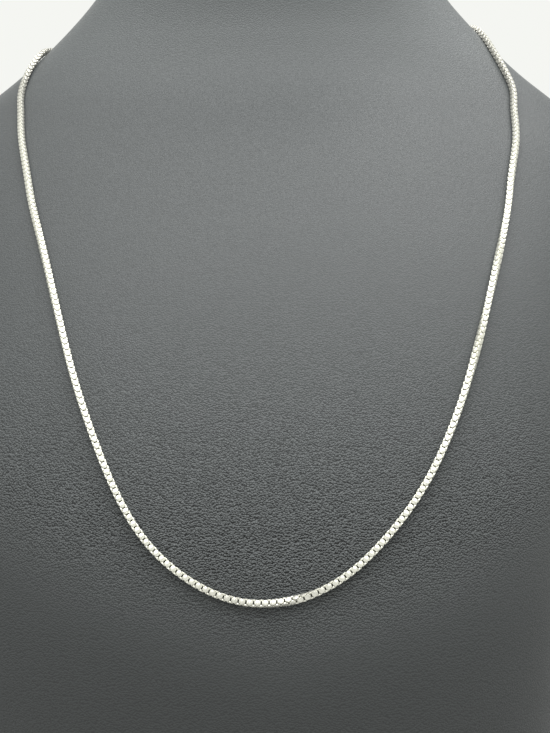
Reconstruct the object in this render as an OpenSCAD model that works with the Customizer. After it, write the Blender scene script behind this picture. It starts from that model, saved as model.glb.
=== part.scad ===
// Box chain necklace on a plain neck bust.
// The bust stands on z = 0, faces -Y, and its box is centred on the Z axis.
// All lengths are in millimetres, all angles in degrees.

/* [Neck bust] */
// Width across the shoulders
bust_w = 194; // [176:1:212]
// Depth from the chest to the back
bust_d = 153; // [144:1:164]
// Height of the root of the neck above the table
body_h = 186; // [170:1:205]
// Width of the neck
neck_w = 80; // [73:1:87]
// Depth of the neck
neck_d = 58; // [52:1:64]
// Height of the neck above its root
neck_h = 54; // [44:1:66]
// Distance of the neck's middle behind the front of the chest
neck_back = 122; // [117:1:127]
// Radius of the rounded edge of the neck's top
top_r = 7; // [3:0.5:12]
// Radius of the rounded edge of the base
base_r = 3; // [1:0.5:6]

/* [Chain] */
// Width and height of the chain's square section
chain_s = 1.5; // [1.1:0.1:2]
// Gap between the chain and the bust
chain_gap = 0.3; // [0.25:0.05:0.5]

/* [Clasp] */
// Outer diameter of the clasp's ring
ring_od = 6.4; // [5.5:0.1:7.5]
// Thickness of the ring's wire
ring_wire = 1.3; // [1:0.05:1.5]
// Outer diameter of each end loop
loop_od = 2.6; // [2.3:0.1:3]
// Thickness of the end loops' wire
loop_wire = 0.6; // [0.45:0.05:0.7]
// Gap between each end loop and the end of the chain
end_gap = 0.1; // [0.05:0.05:0.3]

/* [Hidden] */

// Columns of the tables of level sections
HEIGHT = 0;
HALF_WIDTH = 1;
FRONT = 2;
WIDEST = 3;
BACK = 4;
FRONT_FULLNESS = 5;
BACK_FULLNESS = 6;

// The body from the table up. Heights are shares of body_h, half widths of bust_w / 2, and the
// front, the widest place and the back are shares of bust_d behind the front of the chest.
// Fullness is 2 for an ellipse and more for a squarer outline.
BODY_ROWS = [
    [0.000, 0.780, 0.085, 0.390, 0.72, 2.50, 3.0],
    [0.090, 0.815, 0.035, 0.400, 0.76, 2.50, 3.0],
    [0.210, 0.845, 0.002, 0.420, 0.80, 2.50, 3.0],
    [0.350, 0.870, 0.014, 0.455, 0.84, 2.40, 2.9],
    [0.495, 0.935, 0.067, 0.515, 0.88, 2.35, 2.8],
    [0.610, 0.980, 0.141, 0.580, 0.92, 2.30, 2.7],
    [0.725, 1.000, 0.241, 0.640, 0.955, 2.20, 2.6],
    [0.820, 0.995, 0.348, 0.680, 0.985, 2.10, 2.5],
    [0.890, 0.950, 0.437, 0.700, 1.00, 2.05, 2.4],
    [0.950, 0.835, 0.518, 0.705, 0.98, 2.00, 2.3],
];

// The neck from its root up. Heights are shares of neck_h, half widths of neck_w / 2, and the
// front, the widest place and the back are shares of neck_d / 2 from the neck's middle.
NECK_ROWS = [
    [0.00, 1.74, -1.19, -0.46, 0.86, 2.0, 2.2],
    [0.20, 1.48, -1.02, -0.30, 0.85, 2.0, 2.1],
    [0.44, 1.21, -0.95, -0.20, 0.91, 2.0, 2.0],
    [0.70, 1.04, -0.96, -0.08, 0.97, 2.0, 2.0],
    [1.00, 1.00, -1.00, 0.00, 1.00, 2.0, 2.0],
];

// Columns of the chain's route: angle round the bust, and drop below the root of the neck.
// Angle 0 is the middle of the chest, 90 the shoulder on the +X side, 180 the nape.
ANGLE = 0;
DROP = 1;

// The route starts and ends at the clasp, at this drop
NAPE_DROP = -5;
ROUTE = [
    [-157.5, -5], [-139, -6], [-123.5, -7.2], [-111, -8.2], [-98, -8.8], [-85.5, -7.6],
    [-74.5, -2.8], [-64.5, 2.2], [-54.8, 7.5], [-46.5, 13.5], [-38.5, 22], [-34, 33],
    [-29, 46], [-24.5, 62], [-21, 78], [-17, 93.5], [-12.5, 108], [-6, 118],
    [4.5, 125], [16, 121.5], [23, 112], [28.5, 100], [32, 85.5], [34.5, 67.5],
    [37.5, 50.5], [40.5, 36], [43.5, 23.5], [50, 14], [55.6, 9], [62.6, 4.2],
    [69.8, -1.4], [76.6, -7], [85.2, -11.4], [97, -14.2], [113, -14], [135, -9.8], [157.5, -5],
];

total_h = body_h + neck_h;
clasp_join = (ring_wire + loop_wire) / 4;
loop_x = (ring_od + loop_od) / 2 - clasp_join;
clasp_half = loop_x + loop_od / 2;
chain_lift = chain_gap + chain_s / 2;

// Levels of the bust below, round and above the root of the neck, where the skin bends most
BODY_LEVELS = 20;
ROOT_LEVELS = 22;
NECK_LEVELS = 5;
root_low = 0.82 * body_h;
root_high = body_h + 0.44 * neck_h;
BUST_SIDES = 60;
EDGE_STEPS = 3;
CHAIN_SIDES = 8;
RINGS_PER_STEP = 2;
FINE = 0.05;

// One row of each table in millimetres
function body_row(r) = [
    r[HEIGHT] * body_h, r[HALF_WIDTH] * bust_w / 2,
    r[FRONT] * bust_d, r[WIDEST] * bust_d, r[BACK] * bust_d,
    r[FRONT_FULLNESS], r[BACK_FULLNESS]
];
function neck_row(r) = [
    body_h + r[HEIGHT] * neck_h, r[HALF_WIDTH] * neck_w / 2,
    neck_back + r[FRONT] * neck_d / 2, neck_back + r[WIDEST] * neck_d / 2,
    neck_back + r[BACK] * neck_d / 2,
    r[FRONT_FULLNESS], r[BACK_FULLNESS]
];
SECTIONS = concat([for (r = BODY_ROWS) body_row(r)], [for (r = NECK_ROWS) neck_row(r)]);
LAST = len(SECTIONS) - 1;

// Change of every column for each millimetre of height, above section i and at it
function rise(i) = SECTIONS[i + 1][HEIGHT] - SECTIONS[i][HEIGHT];
function slope_above(i) = (SECTIONS[i + 1] - SECTIONS[i]) / rise(i);
function slope_at(i) =
    i == 0 ? slope_above(0)
    : i == LAST ? slope_above(LAST - 1)
    : (slope_above(i - 1) * rise(i) + slope_above(i) * rise(i - 1)) / (rise(i - 1) + rise(i));
SLOPES = [for (i = [0 : LAST]) slope_at(i)];

// The section at height z, on a smooth curve through the rows
function row_below(z, i = 0) =
    i >= LAST - 1 || z < SECTIONS[i + 1][HEIGHT] ? i : row_below(z, i + 1);
function section(z) =
    let (
        i = row_below(z),
        t = min(1, max(0, (z - SECTIONS[i][HEIGHT]) / rise(i))),
        t2 = t * t,
        t3 = t2 * t
    )
    (2 * t3 - 3 * t2 + 1) * SECTIONS[i] + (t3 - 2 * t2 + t) * rise(i) * SLOPES[i]
    + (3 * t2 - 2 * t3) * SECTIONS[i + 1] + (t3 - t2) * rise(i) * SLOPES[i + 1];

// A point on the outline of section s at an angle, moved in by inset
function outline(s, angle, inset) =
    let (
        c = cos(angle),
        a = sin(angle),
        fullness = c >= 0 ? s[FRONT_FULLNESS] : s[BACK_FULLNESS],
        depth = c >= 0 ? s[WIDEST] - s[FRONT] : s[BACK] - s[WIDEST],
        r = pow(pow(abs(c), fullness) + pow(abs(a), fullness), -1 / fullness)
    )
    [(s[HALF_WIDTH] - inset) * a * r, s[WIDEST] - (depth - inset) * c * r];

// Levels of the bust: [height, inset], with both edges rounded
function edge(r, angle) = [r * (1 - cos(angle)), r * (1 - sin(angle))];
function spread(low, high, count) = [for (k = [0 : count - 1]) [low + (high - low) * k / count, 0]];
LEVELS = concat(
    [for (k = [0 : EDGE_STEPS - 1]) edge(base_r, 90 * k / EDGE_STEPS)],
    spread(base_r, root_low, BODY_LEVELS),
    spread(root_low, root_high, ROOT_LEVELS),
    spread(root_high, total_h - top_r, NECK_LEVELS),
    [for (k = [EDGE_STEPS : -1 : 0]) let (e = edge(top_r, 90 * k / EDGE_STEPS)) [total_h - e[0], e[1]]]
);
FRONTS = [for (l = LEVELS) section(l[0])[FRONT]];
BACKS = [for (l = LEVELS) section(l[0])[BACK]];
mid_y = (min(FRONTS) + max(BACKS)) / 2;

// A point of the bust's skin, and the unit vector that points out of it there
function skin(angle, z, inset = 0) =
    let (p = outline(section(z), angle, inset)) [p[0], p[1] - mid_y, z];
function unit(v) = v / norm(v);
function outward(angle, z) = unit(cross(
    skin(angle + FINE, z) - skin(angle - FINE, z),
    skin(angle, z + FINE) - skin(angle, z - FINE)
));

// The chain's middle line, on a smooth curve along the route
nape_z = body_h - NAPE_DROP;
end_angle = 180 - asin((clasp_half + end_gap) / section(nape_z)[HALF_WIDTH]);
GUIDE = concat([[-end_angle, NAPE_DROP]], ROUTE, [[end_angle, NAPE_DROP]]);
STEPS = len(GUIDE) - 1;
function guide(i) =
    i < 0 ? 2 * GUIDE[0] - GUIDE[1]
    : i > STEPS ? 2 * GUIDE[STEPS] - GUIDE[STEPS - 1]
    : GUIDE[i];
function along(u) =
    let (i = min(STEPS - 1, max(0, floor(u))), t = u - i, t2 = t * t, t3 = t2 * t)
    (pow(1 - t, 3) * guide(i - 1) + (3 * t3 - 6 * t2 + 4) * guide(i)
    + (-3 * t3 + 3 * t2 + 3 * t + 1) * guide(i + 1) + t3 * guide(i + 2)) / 6;
function chain_point(u) =
    let (g = along(u), z = body_h - g[DROP])
    skin(g[ANGLE], z) + chain_lift * outward(g[ANGLE], z);
function chain_ring(u) =
    let (
        g = along(u),
        forward = unit(chain_point(u + FINE) - chain_point(u - FINE)),
        across = unit(cross(forward, outward(g[ANGLE], body_h - g[DROP]))),
        up = cross(across, forward),
        r = chain_s / 2 / cos(180 / CHAIN_SIDES)
    )
    [for (k = [0 : CHAIN_SIDES - 1])
        let (a = 360 * (k + 0.5) / CHAIN_SIDES)
        chain_point(u) + r * (cos(a) * up + sin(a) * across)];

// The clasp lies along the nape, clear of the skin under its two edges and under its middle
nape_top = skin(180, nape_z + ring_od / 2);
nape_low = skin(180, nape_z - ring_od / 2);
clasp_up = unit(nape_top - nape_low);
clasp_out = [0, clasp_up[2], -clasp_up[1]];
nape_rise = max(0, (skin(180, nape_z) - nape_low) * clasp_out);
clasp_place = (nape_top + nape_low) / 2 + (nape_rise + chain_lift) * clasp_out;

// A closed skin over rings of points, each ring with the same number of them
module loft(rings) {
    sides = len(rings[0]);
    last = len(rings) - 1;
    function at(i, j) = i * sides + j % sides;
    walls = [for (i = [0 : last - 1], j = [0 : sides - 1], upper = [0, 1])
        upper == 1
            ? [at(i, j), at(i + 1, j), at(i + 1, j + 1)]
            : [at(i, j), at(i + 1, j + 1), at(i, j + 1)]];
    first_cap = [for (j = [0 : sides - 1]) at(0, j)];
    last_cap = [for (j = [sides - 1 : -1 : 0]) at(last, j)];
    polyhedron([for (r = rings, p = r) p], concat(walls, [first_cap, last_cap]));
}

// One half of the chain, from step first to step last of the route
module chain_half(first, last) {
    rings = (last - first) * RINGS_PER_STEP;
    loft([for (k = [0 : rings]) chain_ring(first + k / RINGS_PER_STEP)]);
}

// The bust's padded form
module neck_bust() {
    color([0.22, 0.23, 0.23])
        loft([for (l = LEVELS) [for (j = [0 : BUST_SIDES - 1]) skin(360 * j / BUST_SIDES, l[0], l[1])]]);
}

// The chain from the clasp over the left shoulder to the lowest point
module chain_left() {
    color([0.86, 0.86, 0.83])
        chain_half(0, STEPS / 2);
}

// The chain from the lowest point over the right shoulder to the clasp
module chain_right() {
    color([0.86, 0.86, 0.83])
        chain_half(STEPS / 2, STEPS);
}

// A ring of round wire, flat on z = 0
module wire_ring(od, wire) {
    rotate_extrude($fn = 48)
        translate([(od - wire) / 2, 0])
            circle(d = wire, $fn = 24);
}

// The closed clasp at the nape, in one piece with its two end loops
module clasp() {
    color([0.8, 0.8, 0.78])
        translate(clasp_place)
            rotate([-acos(clasp_out[2]), 0, 0]) {
                wire_ring(ring_od, ring_wire);
                for (side = [-1, 1])
                    translate([side * loop_x, 0, 0])
                        wire_ring(loop_od, loop_wire);
            }
}

neck_bust();
chain_left();
chain_right();
clasp();
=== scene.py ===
import math
import bpy
import numpy as np
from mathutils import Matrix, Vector


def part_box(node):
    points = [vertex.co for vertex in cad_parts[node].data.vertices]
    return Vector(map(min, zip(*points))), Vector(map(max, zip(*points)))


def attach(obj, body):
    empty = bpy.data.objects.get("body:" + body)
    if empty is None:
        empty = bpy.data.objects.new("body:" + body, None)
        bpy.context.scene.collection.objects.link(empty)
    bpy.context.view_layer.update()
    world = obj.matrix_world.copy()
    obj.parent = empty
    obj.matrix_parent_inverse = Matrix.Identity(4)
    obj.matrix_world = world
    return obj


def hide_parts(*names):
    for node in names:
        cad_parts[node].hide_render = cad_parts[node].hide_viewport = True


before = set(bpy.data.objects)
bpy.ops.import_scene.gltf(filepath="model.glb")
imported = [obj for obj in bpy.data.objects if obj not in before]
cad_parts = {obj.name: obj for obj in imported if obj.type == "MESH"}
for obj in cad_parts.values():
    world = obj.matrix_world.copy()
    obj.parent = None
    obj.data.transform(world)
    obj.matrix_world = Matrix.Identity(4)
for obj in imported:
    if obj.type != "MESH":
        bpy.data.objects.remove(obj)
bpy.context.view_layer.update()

mm = 0.001
print("frame loaded:", sorted(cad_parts))


class Wire:
    # one output socket of a material, with Python's operators for the maths between sockets
    def __init__(self, tree, socket=None):
        self.tree, self.socket = tree, socket

    def add(self, kind, settings=None, sockets=None, out=0):
        node = self.tree.nodes.new(kind)
        for name, value in (settings or {}).items():
            setattr(node, name, value)
        for name, value in (sockets or {}).items():
            if isinstance(value, Wire):
                self.tree.links.new(value.socket, node.inputs[name])
            else:
                node.inputs[name].default_value = value
        return Wire(self.tree, node.outputs[out])

    def maths(self, operation, *values):
        return self.add("ShaderNodeMath", {"operation": operation}, dict(enumerate(values)))

    def __add__(self, other):
        return self.maths("ADD", self, other)

    def __radd__(self, other):
        return self.maths("ADD", other, self)

    def __sub__(self, other):
        return self.maths("SUBTRACT", self, other)

    def __rsub__(self, other):
        return self.maths("SUBTRACT", other, self)

    def __mul__(self, other):
        return self.maths("MULTIPLY", self, other)

    def __rmul__(self, other):
        return self.maths("MULTIPLY", other, self)

    def between(self, low, high, start=0.0, end=1.0):  # a smooth step from low to high
        return self.add("ShaderNodeMapRange", {"interpolation_type": "SMOOTHSTEP"}, {
            "Value": self, "From Min": low, "From Max": high, "To Min": start, "To Max": end})

    def mix(self, first, second):  # self is the share of the second colour
        return self.add("ShaderNodeMix", {"data_type": "RGBA"}, {0: self, 6: first, 7: second}, out=2)

    def stretch(self, factor, shift):  # vectors
        return self.add("ShaderNodeVectorMath", {"operation": "MULTIPLY_ADD"},
                        {0: self, 1: factor, 2: shift})


def newMaterial(name, shine):
    material = bpy.data.materials.new(name)
    material.use_nodes = True
    tree = material.node_tree
    shader = tree.nodes["Principled BSDF"]
    for socket, value in shine.items():
        shader.inputs[socket].default_value = value
    return material, Wire(tree), shader


def plug(wire, shader, socket):
    wire.tree.links.new(wire.socket, shader.inputs[socket])


def newPiece(name, points, faces, material, smooth=True):  # points in m
    mesh = bpy.data.meshes.new(name)
    mesh.from_pydata(points, [], faces)
    mesh.polygons.foreach_set("use_smooth", [smooth] * len(faces))
    mesh.materials.append(material)
    mesh.update()
    piece = bpy.data.objects.new(name, mesh)
    bpy.context.scene.collection.objects.link(piece)
    return piece


# Camera, at the picture's place in front of the bust and a little above the chain
camera = {
    "target": (12.8, -76.5, 113.4),  # mm
    "distance": 321.0,  # mm
    "azimuth": 5.4,
    "elevation": 4.0,
    "focalPixels": 1533.0,  # for a picture 733 pixels high
    "pictureHigh": 733.0,
    "sensor": 36.0,  # mm
    "near": 0.01, "far": 20.0,  # m
}


def makeCamera():
    data = bpy.data.cameras.new("camera")
    data.sensor_width = camera["sensor"]
    data.lens = camera["focalPixels"] / camera["pictureHigh"] * camera["sensor"]
    data.clip_start, data.clip_end = camera["near"], camera["far"]
    eye = bpy.data.objects.new("camera", data)
    bpy.context.scene.collection.objects.link(eye)
    around, up = math.radians(camera["azimuth"]), math.radians(camera["elevation"])
    back = Vector((math.sin(around) * math.cos(up), -math.cos(around) * math.cos(up), math.sin(up)))
    eye.location = (Vector(camera["target"]) + camera["distance"] * back) * mm
    eye.rotation_euler = (-back).to_track_quat("-Z", "Y").to_euler()
    bpy.context.scene.camera = eye
    print("camera placed")


# The bust's form: level sections of the body and the neck, with the same shares as in the part's source
bust = {
    "width": 194.0, "depth": 153.0, "bodyHigh": 186.0,  # mm
    "neckWidth": 80.0, "neckDepth": 58.0, "neckHigh": 54.0, "neckBack": 122.0,
    "topRound": 7.0, "baseRound": 3.0,
    "columns": 240, "levels": 300, "edgeLevels": 10, "capRings": 12,
}
# Height, half width, front, widest place, back, fullness of the front and of the back
bodyRows = [
    (0.000, 0.780, 0.085, 0.390, 0.720, 2.50, 3.0),
    (0.090, 0.815, 0.035, 0.400, 0.760, 2.50, 3.0),
    (0.210, 0.845, 0.002, 0.420, 0.800, 2.50, 3.0),
    (0.350, 0.870, 0.014, 0.455, 0.840, 2.40, 2.9),
    (0.495, 0.935, 0.067, 0.515, 0.880, 2.35, 2.8),
    (0.610, 0.980, 0.141, 0.580, 0.920, 2.30, 2.7),
    (0.725, 1.000, 0.241, 0.640, 0.955, 2.20, 2.6),
    (0.820, 0.995, 0.348, 0.680, 0.985, 2.10, 2.5),
    (0.890, 0.950, 0.437, 0.700, 1.000, 2.05, 2.4),
    (0.950, 0.835, 0.518, 0.705, 0.980, 2.00, 2.3),
]
neckRows = [
    (0.00, 1.74, -1.19, -0.46, 0.86, 2.0, 2.2),
    (0.20, 1.48, -1.02, -0.30, 0.85, 2.0, 2.1),
    (0.44, 1.21, -0.95, -0.20, 0.91, 2.0, 2.0),
    (0.70, 1.04, -0.96, -0.08, 0.97, 2.0, 2.0),
    (1.00, 1.00, -1.00, 0.00, 1.00, 2.0, 2.0),
]


def bustSections():
    b = bust
    body = [(high * b["bodyHigh"], half * b["width"] / 2, front * b["depth"], wide * b["depth"],
             back * b["depth"], fullFront, fullBack)
            for high, half, front, wide, back, fullFront, fullBack in bodyRows]
    neck = [(b["bodyHigh"] + high * b["neckHigh"], half * b["neckWidth"] / 2,
             b["neckBack"] + front * b["neckDepth"] / 2, b["neckBack"] + wide * b["neckDepth"] / 2,
             b["neckBack"] + back * b["neckDepth"] / 2, fullFront, fullBack)
            for high, half, front, wide, back, fullFront, fullBack in neckRows]
    return np.array(body + neck)


sections = bustSections()
rises = np.diff(sections[:, 0])[:, None]
steps = np.diff(sections, axis=0) / rises
slopes = np.vstack([
    steps[:1],
    (steps[:-1] * rises[1:] + steps[1:] * rises[:-1]) / (rises[1:] + rises[:-1]),
    steps[-1:],
])


def sectionAt(z):  # smooth through the rows, for an array of heights in mm
    low = np.clip(np.searchsorted(sections[:, 0], z, side="right") - 1, 0, len(rises) - 1)
    rise = rises[low]
    t = np.clip((z[:, None] - sections[low, :1]) / rise, 0, 1)
    return ((2 * t**3 - 3 * t**2 + 1) * sections[low] + (t**3 - 2 * t**2 + t) * rise * slopes[low]
            + (3 * t**2 - 2 * t**3) * sections[low + 1] + (t**3 - t**2) * rise * slopes[low + 1])


def skinRaw(angle, z, inset=0.0):  # mm, y measured from the front of the chest
    half, front, wide, back, fullFront, fullBack = sectionAt(z).T[1:]
    c, a = np.cos(np.radians(angle)), np.sin(np.radians(angle))
    full = np.where(c >= 0, fullFront, fullBack)
    deep = np.where(c >= 0, wide - front, back - wide)
    reach = (np.abs(c) ** full + np.abs(a) ** full) ** (-1 / full)
    return np.stack([(half - inset) * a * reach, wide - (deep - inset) * c * reach, z], axis=1)


def bustLevels():  # heights and insets, the two edges rounded
    total = bust["bodyHigh"] + bust["neckHigh"]
    turn = np.radians(np.linspace(0, 90, bust["edgeLevels"] + 1))
    base, top = bust["baseRound"], bust["topRound"]
    between = np.linspace(base, total - top, bust["levels"] + 1)
    down, inward = 1 - np.cos(turn[:-1]), 1 - np.sin(turn[:-1])
    heights = np.concatenate([base * down, between, (total - top * down)[::-1]])
    insets = np.concatenate([base * inward, 0 * between, (top * inward)[::-1]])
    return heights, insets


heights, insets = bustLevels()
levelSections = sectionAt(heights)
middleY = (levelSections[:, 2].min() + levelSections[:, 4].max()) / 2


def skin(angle, z, inset=0.0):
    return skinRaw(angle, z, inset) - (0, middleY, 0)


def outward(angle, z):  # unit vectors out of the skin
    fine = 0.05  # mm, and degrees
    across = skin(angle + fine, z) - skin(angle - fine, z)
    upward = skin(angle, z + fine) - skin(angle, z - fine)
    normal = np.cross(across, upward)
    return normal / np.linalg.norm(normal, axis=1)[:, None]


def makeBust(material):
    columns = bust["columns"]
    angles = np.arange(columns) * 360 / columns
    rings = [skin(angles, np.full(columns, z), inset) for z, inset in zip(heights, insets)]
    middle = [np.array([0, ring[:, 1].mean(), ring[0, 2]]) for ring in (rings[0], rings[-1])]
    shares = np.arange(1, bust["capRings"]) / bust["capRings"]
    base = [middle[0] + (rings[0] - middle[0]) * share for share in shares]
    top = [middle[1] + (rings[-1] - middle[1]) * share for share in shares[::-1]]
    points = np.vstack(base + rings + top + middle) * mm
    count = len(points) // columns
    faces = [(i * columns + j, i * columns + (j + 1) % columns, (i + 1) * columns + (j + 1) % columns,
              (i + 1) * columns + j) for i in range(count - 1) for j in range(columns)]
    low, high = len(points) - 2, len(points) - 1
    last = (count - 1) * columns
    faces += [(low, (j + 1) % columns, j) for j in range(columns)]
    faces += [(high, last + j, last + (j + 1) % columns) for j in range(columns)]
    piece = newPiece("bust_skin", points.tolist(), faces, material)
    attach(piece, "root")
    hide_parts("neck_bust")
    print("bust skin:", len(faces), "faces")


# Leather of the bust, dark grey with a fine pebble grain that fades with height
leather = {
    "colour": (0.1165, 0.1250, 0.1270, 1),
    "plain": (0.0495, 0.0531, 0.0541, 1),  # where the grain fades
    # painted light: a paler tone for the neck, where more light falls
    "neck": (0.0980, 0.1049, 0.1060, 1),
    # painted shade: near black, mixed into the creases, under each pebble and towards the foot
    "creaseShade": (0.0020, 0.0022, 0.0022, 1),
    "pebble": 0.465,  # mm
    "domeWide": 0.3,  # of the rounded rim of each pebble, in pebbles
    "creaseWide": 0.9,
    "shadeFrom": -0.1,  # the shade under each pebble, in pebbles below its middle
    "shadeTo": 0.08,
    "shadeLeast": 0.12,  # what is left of it beside and above the pebble
    "bend": 0.4,  # mm, how far the creases wander
    "bendsPerMetre": 1500.0,
    "cloudsPerMetre": 25.0,
    # two heights in m, and how much there is at each
    "grain": (0.066, 0.135, 1.0, 0.24),
    "lowGrain": (0.044, 0.070, 0.3, 1.0),
    # painted shade: the leather darker towards the foot
    "footShade": (0.034, 0.072, 0.29, 0.0),
    # painted light: where the neck turns paler
    "neckLight": (0.170, 0.205, 0.0, 1.0),
    "lowMiddle": 0.013,  # m, the middle of the painted shade at the foot, which climbs to both sides
    "lowClimb": 0.3,
    "deep": 0.15,  # mm
    "roughness": 0.4,
    "creaseRough": 0.12,
    "cloudRough": 0.1,
    "gloss": 0.2,
}


def makeLeather():
    material, wire, shader = newMaterial("bustLeather", {"Specular IOR Level": leather["gloss"]})
    place = wire.add("ShaderNodeTexCoord", out="Object")
    height = wire.add("ShaderNodeSeparateXYZ", sockets={"Vector": place}, out="Z")
    wobble = wire.add("ShaderNodeTexNoise", sockets={
        "Vector": place, "Scale": leather["bendsPerMetre"], "Detail": 1.0}, out="Color")
    bend, pebble = leather["bend"] * mm, leather["pebble"] * mm
    bent = place.stretch((1, 1, 1), wobble.stretch((bend,) * 3, (-bend / 2,) * 3))
    edge = wire.add("ShaderNodeTexVoronoi", {"feature": "DISTANCE_TO_EDGE"},
                    {"Vector": bent, "Scale": 1 / pebble}, out="Distance")
    middle = wire.add("ShaderNodeTexVoronoi", {"feature": "F1"}, {"Vector": bent, "Scale": 1 / pebble},
                      out="Position")
    under = bent.stretch((-1, -1, -1), middle)
    below = wire.add("ShaderNodeSeparateXYZ", sockets={"Vector": under}, out="Z")
    dome = edge.between(0.0, leather["domeWide"])
    flank = edge.between(0.0, leather["creaseWide"])
    shade = below.between(leather["shadeFrom"] * pebble, leather["shadeTo"] * pebble,
                          leather["shadeLeast"], 1.0)
    cloud = wire.add("ShaderNodeTexNoise", sockets={
        "Vector": place, "Scale": leather["cloudsPerMetre"], "Detail": 2.0}, out="Fac")
    right = wire.add("ShaderNodeSeparateXYZ", sockets={"Vector": place}, out="X")
    low = height - wire.maths("ABSOLUTE", right - leather["lowMiddle"]) * leather["lowClimb"]
    drawn = height.between(*leather["grain"]) * low.between(*leather["lowGrain"])
    # painted shade in the creases and on the lower side of each pebble, as if lit from above
    creaseShade = (1 - flank) * shade * drawn
    # painted shade: the crease shade and the darker foot together
    dark = creaseShade + low.between(*leather["footShade"])
    # painted light: the plain leather paler on the neck
    plain = height.between(*leather["neckLight"]).mix(leather["plain"], leather["neck"])
    tone = drawn.mix(plain, leather["colour"])
    plug(dark.mix(tone, leather["creaseShade"]), shader, "Base Color")
    clouds = (cloud - 0.5) * leather["cloudRough"]
    plug(leather["roughness"] + creaseShade * leather["creaseRough"] + clouds, shader, "Roughness")
    bump = wire.add("ShaderNodeBump", sockets={
        "Strength": 1.0, "Distance": leather["deep"] * mm, "Height": dome * drawn})
    plug(bump, shader, "Normal")
    print("leather grained")
    return material


# Chain of box links, each a short ring of flat strip
chain = {
    "side": 1.5,  # mm, width and height of the square section
    "strip": 1.18,  # width of a link's sides at their middle
    "waist": 0.75,  # width of its ends, which pass through the next links
    "stripEnd": 0.86,  # where the strip is last wide and first narrow, in halves of the pitch
    "waistFrom": 0.99,
    "thick": 0.36,  # of its sides
    "endThick": 0.28,
    "round": 0.20,  # outer radius of a link's corners
    "inner": 0.05,
    "edge": 0.05,  # radius of the strip's edges
    "slack": 0.01,
    "above": 0.05,  # air between the links and the leather
    "links": 665,
    "cornerSteps": 3,
    "rollSpread": 0.7,  # degrees, of each link by itself
    "seed": 7,
    "samples": 12001,  # along the middle line
}
napeDrop = -5.0  # mm, at the clasp
# Angle round the bust in degrees, and drop below the root of the neck in mm, as in the part's source
route = [
    (-157.5, -5), (-139, -6), (-123.5, -7.2), (-111, -8.2), (-98, -8.8), (-85.5, -7.6),
    (-74.5, -2.8), (-64.5, 2.2), (-54.8, 7.5), (-46.5, 13.5), (-38.5, 22), (-34, 33),
    (-29, 46), (-24.5, 62), (-21, 78), (-17, 93.5), (-12.5, 108), (-6, 118),
    (4.5, 125), (16, 121.5), (23, 112), (28.5, 100), (32, 85.5), (34.5, 67.5),
    (37.5, 50.5), (40.5, 36), (43.5, 23.5), (50, 14), (55.6, 9), (62.6, 4.2),
    (69.8, -1.4), (76.6, -7), (85.2, -11.4), (97, -14.2), (113, -14), (135, -9.8), (157.5, -5),
]
# Step of the route, and roll of the chain there in degrees
rolls = [
    (0, 0), (2, 0), (8.5, -80), (9.5, -70), (11.8, -62), (12.5, -54), (13, -44), (13.6, -37), (14.8, -24),
    (16.4, -13), (18.2, -6), (18.75, -5), (19.4, -25), (19.6, -48), (19.75, -71), (19.97, -91), (20.3, -94),
    (21.8, -99), (23, -113), (23.5, -120), (24.05, -165), (24.5, -208), (24.8, -220), (25.05, -240),
    (25.45, -272), (26.2, -300), (26.9, -318), (28.1, -335), (31, -355), (33, -360), (38, -360),
]


def chainGuide():
    half = sectionAt(np.array([bust["bodyHigh"] - napeDrop]))[0, 1]
    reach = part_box("clasp")[1].x / mm - clasp["loopWire"] - chain["endThick"] - clasp["play"]
    end = 180 - math.degrees(math.asin(reach / half))
    points = np.array([(-end, napeDrop)] + route + [(end, napeDrop)])
    return np.vstack([2 * points[0] - points[1], points, 2 * points[-1] - points[-2]])


def along(guide, u):  # uniform cubic spline
    i = np.clip(np.floor(u).astype(int), 0, len(guide) - 4)
    t = (u - i)[:, None]
    return ((1 - t) ** 3 * guide[i] + (3 * t**3 - 6 * t**2 + 4) * guide[i + 1]
            + (-3 * t**3 + 3 * t**2 + 3 * t + 1) * guide[i + 2] + t**3 * guide[i + 3]) / 6


def unit(vectors):
    return vectors / np.linalg.norm(vectors, axis=-1, keepdims=True)


def chainLine():  # points along the chain in mm, with the skin's normal, the roll and the step of each
    guide = chainGuide()
    u = np.linspace(0, len(guide) - 3, chain["samples"])
    angle, drop = along(guide, u).T
    z = bust["bodyHigh"] - drop
    normal = outward(angle, z)
    roll = np.radians(np.interp(u, *np.array(rolls).T))
    straight, tilted = np.abs(np.cos(roll)), np.abs(np.sin(roll))
    halfSide, halfStrip = chain["side"] / 2, chain["strip"] / 2
    reach = np.maximum(halfSide * straight + halfStrip * tilted, halfStrip * straight + halfSide * tilted)
    low, high = (np.array(corner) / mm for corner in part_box("clasp"))
    nape = np.array([180.0]), np.array([bust["bodyHigh"] - napeDrop])
    claspHigh = np.dot((low + high) / 2 - skin(*nape)[0], outward(*nape)[0])
    nearClasp = np.clip(np.maximum(1 - u, u - (u[-1] - 1)), 0, 1)
    nearClasp = nearClasp**2 * (3 - 2 * nearClasp)
    lift = (1 - nearClasp) * (reach + chain["above"]) + nearClasp * claspHigh
    points = skin(angle, z) + lift[:, None] * normal
    return points, normal, roll, u


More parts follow.
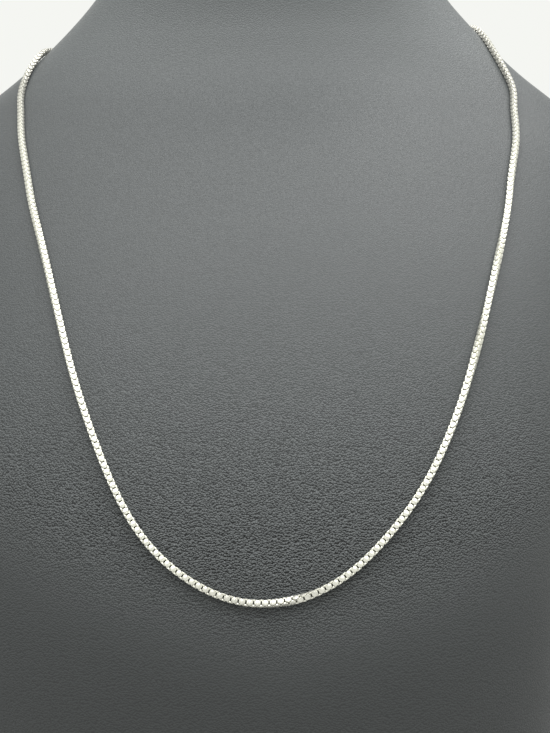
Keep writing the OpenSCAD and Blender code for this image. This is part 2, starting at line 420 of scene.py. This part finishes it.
def linkForm(pitch):  # one link: points (along, up, across) in mm and the faces between them
    long = pitch + 2 * chain["endThick"] + chain["slack"]
    edge, radius, inner = chain["edge"], chain["round"], chain["inner"]
    outerX, outerY = long / 2 - radius, chain["side"] / 2 - radius
    innerX, innerY = long / 2 - chain["endThick"] - inner, chain["side"] / 2 - chain["thick"] - inner
    stations = []  # outer point, inner point and width of the strip, a quarter of the way round
    high, low = chain["side"] / 2, chain["side"] / 2 - chain["thick"]
    for x, width in ((chain["stripEnd"], chain["strip"]), (chain["waistFrom"], chain["waist"])):
        x = x * pitch / 2
        stations.append(((min(x, outerX), high), (min(x, innerX), low), width))
    for t in np.radians(np.linspace(90, 0, chain["cornerSteps"] + 1)):
        stations.append(((outerX + radius * math.cos(t), outerY + radius * math.sin(t)),
                         (innerX + inner * math.cos(t), innerY + inner * math.sin(t)), chain["waist"]))
    bevel = 0.293 * edge  # the middle of an edge's quarter circle
    rings = []
    for x, y, order in ((1, 1, 1), (1, -1, -1), (-1, -1, 1), (-1, 1, -1)):
        for outer, inside, width in stations[::order]:
            outer, inside = np.array(outer) * (x, y), np.array(inside) * (x, y)
            deep = np.linalg.norm(inside - outer)
            profile = [(0, edge), (bevel, bevel), (edge, 0), (deep - edge / 2, 0), (deep, edge / 2)]
            ring = []
            for side, points in ((1, profile), (-1, profile[::-1])):
                for inset, short in points:
                    spot = outer + (inside - outer) * inset / deep
                    ring.append((spot[0], spot[1], side * (width / 2 - short)))
            rings.append(ring)
    points = np.array(rings)
    count, size = points.shape[:2]
    faces = [(i * size + j, i * size + (j + 1) % size, (i + 1) % count * size + (j + 1) % size,
              (i + 1) % count * size + j) for i in range(count) for j in range(size)]
    return points.reshape(-1, 3), np.array(faces), long


def makeChain(material):  # two meshes that meet at the middle step of the route
    points, normal, roll, u = chainLine()
    gone = np.concatenate([[0], np.cumsum(np.linalg.norm(np.diff(points, axis=0), axis=1))])
    forward = unit(np.gradient(points, axis=0))
    count = chain["links"]
    pitch = (gone[-1] - 2 * chain["endThick"] - chain["slack"]) / count
    form, faces, long = linkForm(pitch)
    places = long / 2 + pitch * np.arange(count)

    def pick(values):
        return np.stack([np.interp(places, gone, column) for column in values.T], axis=1)

    middle, ahead, skinUp = pick(points), unit(pick(forward)), pick(normal)
    turn = np.interp(places, gone, roll) + (np.arange(count) % 2) * math.pi / 2
    sideways = unit(np.cross(ahead, skinUp))
    above = np.cross(sideways, ahead)
    dice = np.random.default_rng(chain["seed"])
    turn = turn + np.radians(dice.normal(0, chain["rollSpread"], count))
    up = np.cos(turn)[:, None] * above + np.sin(turn)[:, None] * sideways
    across = np.cross(ahead, up)
    step = np.interp(places, gone, u)
    isLeft = step < u[-1] / 2
    for name, chosen in (("chain_left", isLeft), ("chain_right", ~isLeft)):
        axes = np.stack([ahead[chosen], up[chosen], across[chosen]], axis=1)
        links = middle[chosen][:, None, :] + np.einsum("pk,nkc->npc", form, axes)
        shift = np.arange(len(links))[:, None, None] * len(form)
        allPoints = links.reshape(-1, 3) * mm
        allFaces = (faces[None] + shift).reshape(-1, 4)
        piece = newPiece(name + "_links", allPoints.tolist(), allFaces.tolist(), material)
        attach(piece, "root")
        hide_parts(name)
        print(name, len(links), "links,", 2 * len(allFaces), "triangles, pitch %.4f mm" % pitch)


# Silver of the links
silver = {
    "colour": (0.745, 0.742, 0.658, 1),
    # duller silver, mixed in as painted shade at the top and the bottom of the chain, and in random clouds
    "dullAndShade": (0.52, 0.512, 0.465, 1),
    # two heights in m, and how much painted shade dulls the silver at each
    "topShade": (0.155, 0.190, 0.0, 1.0),
    "bottomShade": (0.061, 0.072, 0.55, 0.0),
    "cloudDull": 0.2,
    "cloudsPerMetre": 700.0,
    "roughness": 0.44,
    "cloudRough": 0.12,
    "metal": 0.9,
}


def makeSilver():
    material, wire, shader = newMaterial("silver", {"Metallic": silver["metal"]})
    place = wire.add("ShaderNodeTexCoord", out="Object")
    cloud = wire.add("ShaderNodeTexNoise", sockets={
        "Vector": place, "Scale": silver["cloudsPerMetre"], "Detail": 2.0}, out="Fac")
    height = wire.add("ShaderNodeSeparateXYZ", sockets={"Vector": place}, out="Z")
    # painted shade: the silver duller towards the top and the bottom of the chain
    heightShade = height.between(*silver["topShade"]) + height.between(*silver["bottomShade"])
    plug((heightShade + cloud * silver["cloudDull"]).mix(silver["colour"], silver["dullAndShade"]), shader, "Base Color")
    plug(silver["roughness"] + (cloud - 0.5) * silver["cloudRough"], shader, "Roughness")
    print("silver finished")
    return material


# Clasp, closed, behind the neck
clasp = {
    "loopWire": 0.6,  # mm
    "play": 0.03,
    "colour": (0.88, 0.875, 0.845, 1),
    "dark": 0.9,  # share of the colour in the clouds
    "cloudsPerMetre": 300.0,
    "roughness": 0.2,
    "cloudRough": 0.15,
}


def makeClasp():
    material, wire, shader = newMaterial("claspSilver", {"Metallic": 1.0})
    place = wire.add("ShaderNodeTexCoord", out="Object")
    cloud = wire.add("ShaderNodeTexNoise", sockets={
        "Vector": place, "Scale": clasp["cloudsPerMetre"], "Detail": 3.0}, out="Fac")
    darker = tuple(clasp["dark"] * share for share in clasp["colour"][:3]) + (1,)
    plug(cloud.mix(clasp["colour"], darker), shader, "Base Color")
    plug(clasp["roughness"] + (cloud - 0.5) * clasp["cloudRough"], shader, "Roughness")
    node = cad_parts["clasp"]
    node.data.materials.clear()
    node.data.materials.append(material)
    print("clasp finished")


# Room: a pale floor, a pale sky and one soft lamp overhead
room = {
    "floor": (0.55, 0.55, 0.54, 1),
    "floorWide": 6.0,  # m
    "floorRoughness": 0.6,
    "sky": (0.913, 0.922, 0.887, 1),
    "skyPower": 1.0,
    "lamp": {
        "place": (0.045, -0.12, 0.56), "aim": (0.0, -0.06, 0.13),
        "size": (0.90, 0.60), "power": 6.4,
    },
}


def makeRoom():
    half = room["floorWide"] / 2
    material, wire, shader = newMaterial("paleFloor", {
        "Base Color": room["floor"], "Roughness": room["floorRoughness"]})
    floor = newPiece("floor", [(-half, -half, 0), (half, -half, 0), (half, half, 0), (-half, half, 0)],
                     [(0, 1, 2, 3)], material, smooth=False)
    world = bpy.data.worlds.new("sky")
    world.use_nodes = True
    sky = world.node_tree.nodes["Background"]
    sky.inputs["Color"].default_value = room["sky"]
    sky.inputs["Strength"].default_value = room["skyPower"]
    bpy.context.scene.world = world
    lamp = room["lamp"]
    data = bpy.data.lights.new("softbox", "AREA")
    data.shape = "RECTANGLE"
    data.size, data.size_y = lamp["size"]
    data.energy = lamp["power"]
    light = bpy.data.objects.new("softbox", data)
    light.location = lamp["place"]
    light.rotation_euler = (Vector(lamp["aim"]) - light.location).to_track_quat("-Z", "Y").to_euler()
    bpy.context.scene.collection.objects.link(light)
    bpy.context.scene.view_settings.view_transform = "Standard"
    print("room lit")


makeCamera()
makeBust(makeLeather())
makeChain(makeSilver())
makeClasp()
makeRoom()
